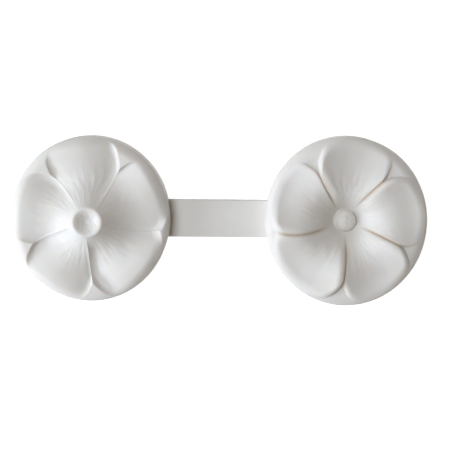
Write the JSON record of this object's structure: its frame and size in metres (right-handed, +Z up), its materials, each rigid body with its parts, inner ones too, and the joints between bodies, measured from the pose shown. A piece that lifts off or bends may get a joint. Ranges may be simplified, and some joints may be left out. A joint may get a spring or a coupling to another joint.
{
  "type": "fondant flower mould",
  "caption": "Two-part silicone press mould: a petal funnel die and a matching domed press die joined by a flat folding strap, for shaping fondant flowers.",
  "frame": {"origin": "middle of the base plane that the open mould lies on", "axes": "+X along the strap towards the flower die, +Y across the strap, +Z up out of the flower"},
  "size_m": [0.147, 0.0599, 0.0182],
  "materials": {
    "silicone": "satin off-white silicone"
  },
  "bodies": {
    "flower_half": {"flower_die": "silicone"},
    "strap_1": {"strap_link_1": "silicone"},
    "strap_2": {"strap_link_2": "silicone"},
    "strap_3": {"strap_link_3": "silicone"},
    "strap_4": {"strap_link_4": "silicone"},
    "strap_5": {"strap_link_5": "silicone"},
    "press_half": {"press_die": "silicone"}
  },
  "joints": [
    {"name": "strap_bend_1", "type": "hinge", "parent": "flower_half", "child": "strap_1", "pos_m": [0.0132, 0, 0.003], "axis": [0, 1, 0], "range_deg": [0, 30], "stiffness_Nm_per_rad": 0.0056},
    {"name": "strap_bend_2", "type": "hinge", "parent": "strap_1", "child": "strap_2", "pos_m": [0.00784, 0, 0.003], "axis": [0, 1, 0], "range_deg": [0, 30], "stiffness_Nm_per_rad": 0.0056},
    {"name": "strap_bend_3", "type": "hinge", "parent": "strap_2", "child": "strap_3", "pos_m": [0.00248, 0, 0.003], "axis": [0, 1, 0], "range_deg": [0, 30], "stiffness_Nm_per_rad": 0.0056},
    {"name": "strap_bend_4", "type": "hinge", "parent": "strap_3", "child": "strap_4", "pos_m": [-0.00288, 0, 0.003], "axis": [0, 1, 0], "range_deg": [0, 30], "stiffness_Nm_per_rad": 0.0056},
    {"name": "strap_bend_5", "type": "hinge", "parent": "strap_4", "child": "strap_5", "pos_m": [-0.00824, 0, 0.003], "axis": [0, 1, 0], "range_deg": [0, 30], "stiffness_Nm_per_rad": 0.0056},
    {"name": "strap_bend_6", "type": "hinge", "parent": "strap_5", "child": "press_half", "pos_m": [-0.0136, 0, 0.003], "axis": [0, 1, 0], "range_deg": [0, 30], "stiffness_Nm_per_rad": 0.0056}
  ]
}
